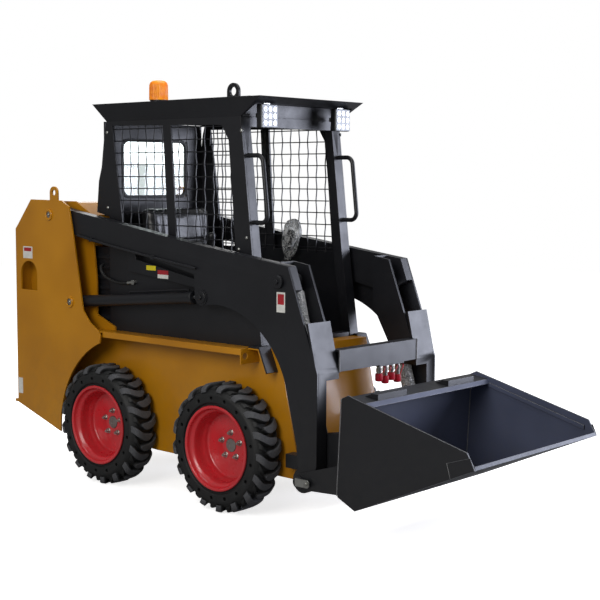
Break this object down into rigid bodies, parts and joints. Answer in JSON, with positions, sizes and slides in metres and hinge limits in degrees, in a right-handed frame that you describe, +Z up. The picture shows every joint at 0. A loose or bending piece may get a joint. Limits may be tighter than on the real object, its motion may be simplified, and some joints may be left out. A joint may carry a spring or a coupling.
{
  "type": "compact skid steer loader",
  "caption": "Compact wheeled loader with a mesh-sided cab, rear uprights, a working lift arm, hydraulic cylinders and a front bucket.",
  "frame": {"origin": "on the ground, below the middle of the machine's length and width", "axes": "+X forward towards the bucket, +Y to the machine's left, +Z up"},
  "size_m": [2.853, 0.914, 1.957],
  "materials": {
    "amber_lens": "translucent",
    "bare_steel": "ground",
    "cast_engine": "rough",
    "charcoal_paint": "satin enamel",
    "lamp_housing": "clear face",
    "ochre_paint": "gloss enamel",
    "red_paint": "gloss enamel",
    "seat_vinyl": "grained",
    "tyre_rubber": "matte",
    "window_glass": "clear"
  },
  "bodies": {
    "root": {"axle_stubs": "bare_steel", "beacon_base": "charcoal_paint", "beacon_lens": "amber_lens", "belly_pan": "ochre_paint", "body_side_walls": "ochre_paint", "cab_floor": "charcoal_paint", "cab_front_frame": "charcoal_paint", "cab_rear_wall": "charcoal_paint", "cab_side_left": "charcoal_paint", "cab_side_right": "charcoal_paint", "engine_block": "cast_engine", "engine_cover": "ochre_paint", "front_sheet": "ochre_paint", "louvre_panels": "charcoal_paint", "rear_glass": "window_glass", "roof_panel": "charcoal_paint", "seat_back": "seat_vinyl", "seat_cushion": "seat_vinyl", "side_controls": "charcoal_paint", "side_ledges": "ochre_paint", "upright_inner_plates": "ochre_paint", "upright_outer_plates": "ochre_paint", "upright_pins": "ochre_paint", "upright_rear_webs": "ochre_paint", "window_meshes": "charcoal_paint", "work_lamps": "lamp_housing"},
    "arms": {"arm_left": "charcoal_paint", "arm_right": "charcoal_paint", "arm_crossbar": "charcoal_paint"},
    "lift_cylinder_barrels": {"lift_barrels": "charcoal_paint"},
    "lift_cylinder_rods": {"lift_rods": "bare_steel"},
    "tilt_cylinder_barrels": {"tilt_barrels": "charcoal_paint"},
    "tilt_cylinder_rods": {"tilt_rods": "bare_steel"},
    "bucket": {"hitch_frame": "charcoal_paint", "bucket_shell": "charcoal_paint", "cutting_edge": "bare_steel"},
    "engine_door": {"rear_door": "ochre_paint"},
    "wheel_front_left": {"tyre_front_left": "tyre_rubber", "rim_front_left": "red_paint"},
    "wheel_front_right": {"tyre_front_right": "tyre_rubber", "rim_front_right": "red_paint"},
    "wheel_rear_left": {"tyre_rear_left": "tyre_rubber", "rim_rear_left": "red_paint"},
    "wheel_rear_right": {"tyre_rear_right": "tyre_rubber", "rim_rear_right": "red_paint"}
  },
  "joints": [
    {"name": "arm_lift", "type": "hinge", "parent": "root", "child": "arms", "pos_m": [-1.133, 0, 1.291], "axis": [0, -1, 0], "range_deg": [0, 67]},
    {"name": "bucket_tilt", "type": "hinge", "parent": "arms", "child": "bucket", "pos_m": [0.532, 0, 0.217], "axis": [0, 1, 0], "range_deg": [0, 130]},
    {"name": "lift_barrel_swing", "type": "hinge", "parent": "root", "child": "lift_cylinder_barrels", "pos_m": [-0.976, 0, 0.869], "axis": [0, -1, 0], "range_deg": [-0.5, 61.13]},
    {"name": "lift_rod_slide", "type": "slide", "parent": "lift_cylinder_barrels", "child": "lift_cylinder_rods", "axis": [0.9962, 0, 0.0869], "range_m": [-0.001, 0.4821]},
    {"name": "tilt_barrel_swing", "type": "hinge", "parent": "arms", "child": "tilt_cylinder_barrels", "pos_m": [0.396, 0, 1.043], "axis": [0, -1, 0], "range_deg": [-2.31, 0.5]},
    {"name": "tilt_rod_slide", "type": "slide", "parent": "tilt_cylinder_barrels", "child": "tilt_cylinder_rods", "axis": [0.2619, 0, -0.9651], "range_m": [-0.001, 0.2994]},
    {"name": "rear_door_swing", "type": "hinge", "parent": "root", "child": "engine_door", "pos_m": [-1.421, 0.327, 0.7], "axis": [0, 0, -1], "range_deg": [0, 100]},
    {"name": "wheel_front_left_turn", "type": "hinge", "parent": "root", "child": "wheel_front_left", "pos_m": [0.05, 0, 0.29], "axis": [0, 1, 0], "continuous": true},
    {"name": "wheel_front_right_turn", "type": "hinge", "parent": "root", "child": "wheel_front_right", "pos_m": [0.05, 0, 0.29], "axis": [0, 1, 0], "continuous": true},
    {"name": "wheel_rear_left_turn", "type": "hinge", "parent": "root", "child": "wheel_rear_left", "pos_m": [-0.757, 0, 0.29], "axis": [0, 1, 0], "continuous": true},
    {"name": "wheel_rear_right_turn", "type": "hinge", "parent": "root", "child": "wheel_rear_right", "pos_m": [-0.757, 0, 0.29], "axis": [0, 1, 0], "continuous": true}
  ],
  "couplings": [
    {"joint": "lift_barrel_swing", "follows": "arm_lift", "ratio": 0.90496},
    {"joint": "lift_rod_slide", "follows": "arm_lift", "m_per_rad": 0.4114},
    {"joint": "tilt_barrel_swing", "follows": "bucket_tilt", "ratio": -0.013913},
    {"joint": "tilt_rod_slide", "follows": "bucket_tilt", "m_per_rad": 0.13151}
  ]
}
